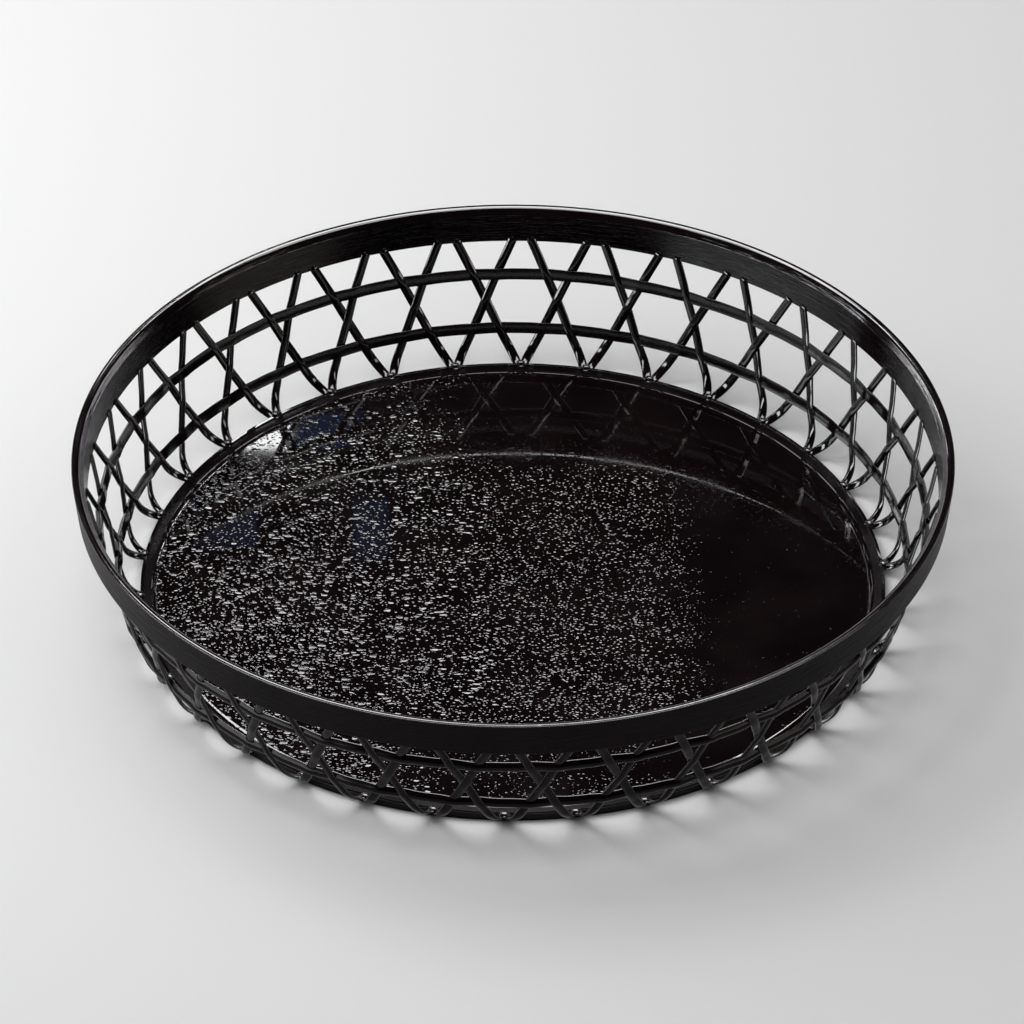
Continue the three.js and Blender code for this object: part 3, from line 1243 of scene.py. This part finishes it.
    def web_grid(self) -> Grid:
        """Fills the notch between the legs, just above the foot, with a thin web.

        A rounded section in length and depth is carried across from one leg to the other, and its
        upper edge sags in the middle by a parabola.

        Returns:
            The web's surface, with its axis at azimuth 0.
        """
        wall = self.wall
        half = self.web_thickness / 2
        low = wall.length - self.web_lap
        high = wall.length - self.web_rise
        corners = [
            (low, -half, 0.2 * MM),
            (low, half, 0.2 * MM),
            (high, half, 0.6 * MM),
            (high, -half, 0.6 * MM),
        ]
        section = rounded_outline(corners, self.arc_steps)
        share = np.linspace(-1, 1, self.web_steps + 1)[:, None]
        sag = self.web_sag * (1 - share**2) * (low - section[:, 0]) / (low - high)
        along = section[:, 0] + sag
        azimuth = share * wall.leg_turn(along)
        depth = np.broadcast_to(section[:, 1], along.shape)
        points = wall.places(along, azimuth, depth)
        run = np.append(share[:, 0], 1.0) * wall.foot_half_gap
        satin = (section[:, 1] > self.dull_depth).astype(float)
        return Grid(points, paired(run, lengths_round(section)), Ends.CAPPED, {SATIN: satin})

    def bead_grid(self) -> Grid:
        """Lays a low round bead on the web, where the legs' inner edges meet.

        The bead is an ellipsoid whose half sizes round the basket, outward and upward are its size.
        Its rows go up by even angles, and each row is a turn about the vertical.

        Returns:
            The bead's surface, with its axis at azimuth 0.
        """
        radius, height = self.bead_place
        rise = np.linspace(-math.pi / 2, math.pi / 2, self.bead_rings + 2)[1:-1, None]
        turn = np.linspace(0, FULL_TURN, self.bead_sides + 1)[None, :-1]
        round_size, out_size, up_size = self.bead_size
        points = np.stack(
            [
                round_size * np.cos(rise) * np.cos(turn),
                radius + out_size * np.cos(rise) * np.sin(turn),
                height + up_size * np.sin(rise) + 0 * turn,
            ],
            axis=-1,
        )
        plan = paired(np.append(rise, rise[-1]), np.append(turn, FULL_TURN)) * round_size
        return Grid(points, plan, Ends.CAPPED, {})

    def make_strand(self, number: int) -> bpy.types.Object:
        """Makes one strand in its place round the basket.

        Args:
            number: Its number, from 0 at +Y and clockwise.

        Returns:
            The piece.
        """
        turn = number * self.wall.pitch
        cosine, sine = math.cos(turn), math.sin(turn)
        turning = np.array([(cosine, -sine, 0.0), (sine, cosine, 0.0), (0.0, 0.0, 1.0)])
        grids = [self.strand_grid(), self.web_grid(), self.bead_grid()]
        for grid in grids:
            grid.points = grid.points @ turning
        return make_piece(f"strand_{number + 1:02d}", grids)

    def hoop_section(self) -> np.ndarray:
        """Lays out a hoop's section in length and depth: flat inside, and outside a broad crown.

        The sides rise by hoop_side from the inner face, and then the face slopes to a flat as wide as
        the share hoop_crown of the height, with corners so round that it is one smooth crown.

        Returns:
            The section's points, n x 2.
        """
        half, deep = self.hoop_height / 2, self.hoop_thickness / 2
        side, crown = self.hoop_side - deep, self.hoop_crown * half
        corners = [
            (-half, -deep, self.hoop_corner),
            (half, -deep, self.hoop_corner),
            (half, side, self.hoop_corner),
            (crown, deep, self.hoop_edge),
            (-crown, deep, self.hoop_edge),
            (-half, side, self.hoop_corner),
        ]
        return rounded_outline(corners, self.arc_steps)

    def make_hoop(self, name: str, along: float) -> bpy.types.Object:
        """Makes a hoop that weaves in and out of the legs.

        Its depth is a sum of bumps: inward where a clockwise leg crosses it and outward where an
        anticlockwise leg does.

        Args:
            name: Name of the piece.
            along: The hoop's length down the wall.

        Returns:
            The piece.
        """
        wall = self.wall
        azimuth = np.arange(self.hoop_segments) * FULL_TURN / self.hoop_segments
        meeting = wall.leg_turn(np.array(along))
        depth = np.zeros(self.hoop_segments)
        for side in Side:
            away = azimuth - side.value * meeting
            away = (away + wall.pitch / 2) % wall.pitch - wall.pitch / 2
            depth -= self.weave * side.value * bump(away * wall.top_radius, self.weave_width)
        section = self.hoop_section()
        lengths = along + np.broadcast_to(section[:, 0], (len(depth), len(section)))
        outline = np.stack(wall.section(lengths, depth[:, None] + section[:, 1]), axis=-1)
        satin = (section[:, 1] > self.hoop_gloss - self.hoop_thickness / 2).astype(float)
        return make_piece(name, [turned_ring(outline, self.hoop_segments, {SATIN: satin})])


@dataclass
class BaseTray:
    """The foot with its low lip, and the flat floor inside it.

    The lip's top and its inner edge are glossy within gloss_half of gloss_out, which is measured
    outward from the inner edge of the lip, and the rest of the foot is dull.
    """

    radius: float = 106.8 * MM
    seat_radius: float = 103.6 * MM
    ledge_radius: float = 97.6 * MM
    ledge_top: float = 0.7 * MM
    floor_top: float = 2.0 * MM
    lip_top: float = 2.45 * MM
    lip_width: float = 0.9 * MM
    lip_lean: float = 0.1 * MM
    undercut: float = 0.25 * MM
    undercut_low: float = 0.75 * MM
    undercut_high: float = 0.9 * MM
    gloss_out: float = 0.31 * MM
    gloss_half: float = 0.29 * MM
    edge_round: float = 0.02 * MM
    longest_side: float = 0.8 * MM
    arc_steps: int = 4
    segments: int = 544
    floor_rings: int = 52
    ripple: float = 0.012 * MM
    ripple_fade: float = 6 * MM
    grain_fade: float = 2 * MM

    def make_foot(self) -> bpy.types.Object:
        """Turns the foot's section: an undercut side, a flat lip and a step down to the floor's level.

        Returns:
            The piece.
        """
        lip_inside = self.radius - self.lip_width
        side = self.radius - self.undercut
        corners = [
            (self.ledge_radius, 0.0, 0.15 * MM),
            (side, 0.0, 0.1 * MM),
            (side, self.undercut_low, 0.06 * MM),
            (self.radius, self.undercut_high, 0.06 * MM),
            (self.radius, self.lip_top, 0.1 * MM),
            (lip_inside, self.lip_top, 0.06 * MM),
            (lip_inside - self.lip_lean, self.floor_top, 0.06 * MM),
            (self.seat_radius, self.floor_top, 0.02 * MM),
            (self.seat_radius, self.ledge_top, 0.1 * MM),
            (self.ledge_radius, self.ledge_top, 0.15 * MM),
        ]
        outline = divided(guarded(rounded_outline(corners, self.arc_steps)), self.longest_side)
        away = np.abs(outline[:, 0] - lip_inside - self.gloss_out)
        tones = {SATIN: (away > self.gloss_half).astype(float)}
        return make_piece("tray_foot", [turned_ring(outline, self.segments, tones)])

    def grain_left(self, x: np.ndarray, y: np.ndarray) -> np.ndarray:
        """Gives the share of the floor's grain that is left at each place.

        The grain is whole at the left. It is worn towards the right, and from left of the middle on
        also at the back and at the front, each evenly over a length and down to its own least.

        Args:
            x: Places to the right.
            y: Places to the back.

        Returns:
            Shares from 0 to 1.
        """
        right = 0.75 * climb(x, 36 * MM, 22 * MM)
        back = 0.8 * climb(y, 50 * MM, 12 * MM) * climb(x, -30 * MM, 25 * MM)
        front = 0.7 * climb(-y, 58 * MM, 14 * MM) * climb(x, -50 * MM, 30 * MM)
        return (1 - right) * (1 - back) * (1 - front)

    def make_floor(self) -> bpy.types.Object:
        """Makes the floor as a disc, flat below and with a slow ripple on its upper face.

        Rows run out from the middle of the upper face, over the edge and back under it. The ripple
        is a sum of sines in x and y. It fades out at the edge, and so does the grain.

        Returns:
            The piece.
        """
        out = np.linspace(0.5 * MM, self.seat_radius - self.edge_round, self.floor_rings)
        out = np.append(out, self.seat_radius)
        radius = np.concatenate([out, out[::-1]])
        height = np.repeat([self.floor_top, self.ledge_top], len(out))
        height[len(out) - 1] -= self.edge_round
        height[len(out)] += self.edge_round
        azimuth = np.arange(self.segments) * FULL_TURN / self.segments
        x = radius[:, None] * np.sin(azimuth)
        y = radius[:, None] * np.cos(azimuth)
        waves = np.sin(x / (9 * MM) + 0.6) * np.sin(y / (12 * MM)) + np.sin((x + y) / (17 * MM))
        upper = (np.arange(len(radius)) < len(out))[:, None]
        inward = (self.seat_radius - radius)[:, None]
        z = height[:, None] + self.ripple * waves * climb(inward, 0, self.ripple_fade) * upper
        points = np.stack([x, y, z], axis=-1)
        around = np.arange(self.segments + 1) * FULL_TURN / self.segments * self.seat_radius
        plan = paired(np.append(radius, radius[-1]), around)
        grain = climb(inward, 0, self.grain_fade) * upper * self.grain_left(x, y)
        return make_piece("tray_floor", [Grid(points, plan, Ends.CAPPED, {HAMMERED: grain})])


# Camera, lights and ground


@dataclass(frozen=True)
class Viewpoint:
    """Where the camera stands and how it is turned: a long lens, well above the rim.

    It stands at a distance, elevation and azimuth from a point over the basket's middle, looks at
    that point, and is then turned by the small angles tilt, swing and roll. Lens and sensor are in
    millimetres and angles in radians, and the shift is half a pixel each way.
    """

    focal: float = 246.09
    sensor: float = 36.0
    distance: float = 1.98211
    elevation: float = 0.63217
    azimuth: float = 0.02108
    aim_height: float = 47.5 * MM
    tilt: float = 0.00859
    swing: float = -0.00007
    roll: float = -0.001
    shift: tuple[float, float] = (-0.5 / 1024, 0.5 / 1024)

    def make(self) -> bpy.types.Object:
        """Makes the camera that the scene is seen through.

        Returns:
            The camera.
        """
        data = bpy.data.cameras.new("camera")
        data.lens = self.focal
        data.sensor_width = self.sensor
        data.shift_x, data.shift_y = self.shift
        camera = in_scene("camera", data)
        rise, run = math.sin(self.elevation), math.cos(self.elevation)
        ahead = Vector((0.0, run, -rise))
        right = Vector((1.0, 0.0, 0.0))
        level = Matrix((right, right.cross(ahead), -ahead))
        turn = Matrix.Rotation(self.roll, 3, "Z") @ Matrix.Rotation(self.tilt, 3, "X")
        turn = turn @ Matrix.Rotation(self.swing, 3, "Y") @ level
        around = Matrix.Rotation(self.azimuth, 3, "Z")
        place = around @ Vector((0.0, -self.distance * run, self.distance * rise))
        place.z += self.aim_height
        camera.matrix_world = Matrix.Translation(place) @ (around @ turn.transposed()).to_4x4()
        bpy.context.scene.camera = camera
        return camera


@dataclass(frozen=True)
class Softbox:
    """A rectangular lamp that faces a point and isn't seen by the camera."""

    name: str
    place: tuple[float, float, float]
    aim: tuple[float, float, float]
    size: tuple[float, float]
    brightness: float
    reach: Reach = Reach.GLOSS
    tint: tuple[float, float, float] = (1.0, 1.0, 1.0)

    def make(self) -> bpy.types.Object:
        """Makes the lamp, whose power is its brightness times pi times its area.

        Returns:
            The lamp.
        """
        data = bpy.data.lights.new(self.name, "AREA")
        data.shape = "RECTANGLE"
        data.size, data.size_y = self.size
        data.energy = self.brightness * math.pi * self.size[0] * self.size[1]
        data.color = self.tint
        lamp = in_scene(self.name, data)
        lamp.rotation_euler = (Vector(self.aim) - Vector(self.place)).to_track_quat("-Z", "Y").to_euler()
        lamp.location = self.place
        lamp.visible_camera = False
        lamp.visible_diffuse = self.reach is Reach.ROOM
        lamp.visible_glossy = self.reach is Reach.GLOSS
        return lamp


@dataclass
class Studio:
    """A pale table in a dark room.

    Three soft lamps light the table and the dull side of everything: a window at the left, a skylight
    and the ceiling. The other lamps show only in gloss: large ones overhead and behind, cards at the
    sides, and a bright strip with small navy pieces that the tray mirrors at its back left.
    """

    ground_size: float = 6.0
    ground_color: tuple[float, float, float] = (0.80, 0.805, 0.80)
    ground_roughness: float = 0.7
    ground_index: float = 1.3
    room_level: float = 0.01
    lamps: tuple[Softbox, ...] = (
        Softbox("window", (-0.649, 0.274, 0.50), (0, 0, 0), (0.8, 0.7), 3.0, Reach.ROOM),
        Softbox("skylight", (-0.33, 0.38, 1.0), (0, 0, 0), (0.6, 0.6), 1.8, Reach.ROOM),
        Softbox("ceiling", (0, 0, 1.3), (0, 0, 0), (3.0, 3.0), 0.68, Reach.ROOM),
        Softbox("overhead", (0.05, 0.30, 1.2), (0, 0, 0), (1.0, 0.45), 7.0),
        Softbox("high_back", (-0.15, 1.2, 1.62), (-0.1, 0, 0), (1.05, 0.6), 12.0),
        Softbox(
            "backdrop", (0, 2.0, 0.28), (0, 0, 0.05), (3.4, 0.45), 1.3, tint=(0.94, 0.88, 1.0)
        ),
        Softbox(
            "left_card", (-1.05, -0.35, 0.42), (0, 0, 0.03), (1.3, 0.3), 9.0, tint=(0.93, 0.97, 1.0)
        ),
        Softbox(
            "right_card", (1.05, -0.35, 0.42), (0, 0, 0.03), (0.8, 0.3), 3.5, tint=(1.0, 0.95, 0.88)
        ),
        Softbox("back_left", (-0.9, 0.75, 0.42), (0, 0, 0.03), (0.6, 0.25), 5.0),
        Softbox(
            "back_right", (0.9, 0.75, 0.42), (0, 0, 0.03), (0.6, 0.25), 4.0, tint=(0.97, 0.93, 1.0)
        ),
        Softbox("low_strip", (-0.268, 0.33, 0.1905), (-0.268, 0, 0.1905), (0.37, 0.016), 12.0),
        Softbox(
            "navy_piece", (-0.070, 0.33, 0.1905), (-0.070, 0, 0.1905), (0.022, 0.016), 0.3,
            tint=(0.22, 0.38, 1.0),
        ),
        Softbox(
            "navy_left", (-0.107, 0.33, 0.229), (-0.107, 0, 0.229), (0.024, 0.02), 0.2,
            tint=(0.25, 0.42, 1.0),
        ),
        Softbox(
            "navy_middle", (-0.056, 0.33, 0.232), (-0.056, 0, 0.232), (0.012, 0.026), 0.2,
            tint=(0.25, 0.42, 1.0),
        ),
    )

    def make_ground(self) -> bpy.types.Object:
        """Makes the table top, a flat sheet with its upper face at height 0.

        Returns:
            The ground.
        """
        half = self.ground_size / 2
        corners = [(-half, -half, 0.0), (half, -half, 0.0), (half, half, 0.0), (-half, half, 0.0)]
        mesh = bpy.data.meshes.new("ground")
        mesh.from_pydata(corners, [], [(0, 1, 2, 3)])
        ground = in_scene("ground", mesh)
        material = bpy.data.materials.new("pale_table")
        material.use_nodes = True
        shader = material.node_tree.nodes["Principled BSDF"]
        nodes = Nodes(material.node_tree)
        nodes.feed(shader, Base_Color=(*self.ground_color, 1.0), Roughness=self.ground_roughness)
        nodes.feed(shader, IOR=self.ground_index)
        mesh.materials.append(material)
        return ground

    def make_room(self) -> None:
        """Gives the room a dim even light."""
        world = bpy.data.worlds.new("room")
        world.use_nodes = True
        nodes = Nodes(world.node_tree)
        level = (self.room_level, self.room_level, self.room_level, 1.0)
        nodes.feed(world.node_tree.nodes["Background"], Color=level, Strength=1.0)
        bpy.context.scene.world = world

    def make(self) -> None:
        """Makes the ground, the room and the lamps."""
        self.make_ground()
        self.make_room()
        for softbox in self.lamps:
            softbox.make()
        bpy.context.scene.view_settings.view_transform = "Standard"
        LOG.info("studio has %d lamps", len(self.lamps))


def main() -> None:
    """Builds the basket piece by piece, then the camera and the studio."""
    logging.basicConfig(level=logging.INFO, format="%(name)s: %(message)s")
    groups = GrainGroups()
    rim_black = [finish.material(groups) for finish in (RimPlastic(), DrawnPlastic())]
    lattice_black = [finish.material(groups) for finish in (LatticePlastic(), DullLatticePlastic())]
    tray_black = TrayPlastic().material(groups)

    settle(RimBand().make(), "rim_band", Slot.RIM, *rim_black)
    lattice = WovenLattice()
    upper, lower = lattice.wall.hoop_lengths
    settle(lattice.make_hoop("hoop_upper", upper), "upper_hoop", Slot.LATTICE, *lattice_black)
    settle(lattice.make_hoop("hoop_lower", lower), "lower_hoop", Slot.LATTICE, *lattice_black)
    for number in range(lattice.wall.strands):
        node = f"lattice_strand_{number + 1:02d}"
        settle(lattice.make_strand(number), node, Slot.LATTICE, *lattice_black)
    tray = BaseTray()
    settle(tray.make_foot(), "base_ring", Slot.TRAY, tray_black, lattice_black[1])
    settle(tray.make_floor(), "floor_plate", Slot.TRAY, tray_black)

    Viewpoint().make()
    Studio().make()


if __name__ == "__main__":
    main()
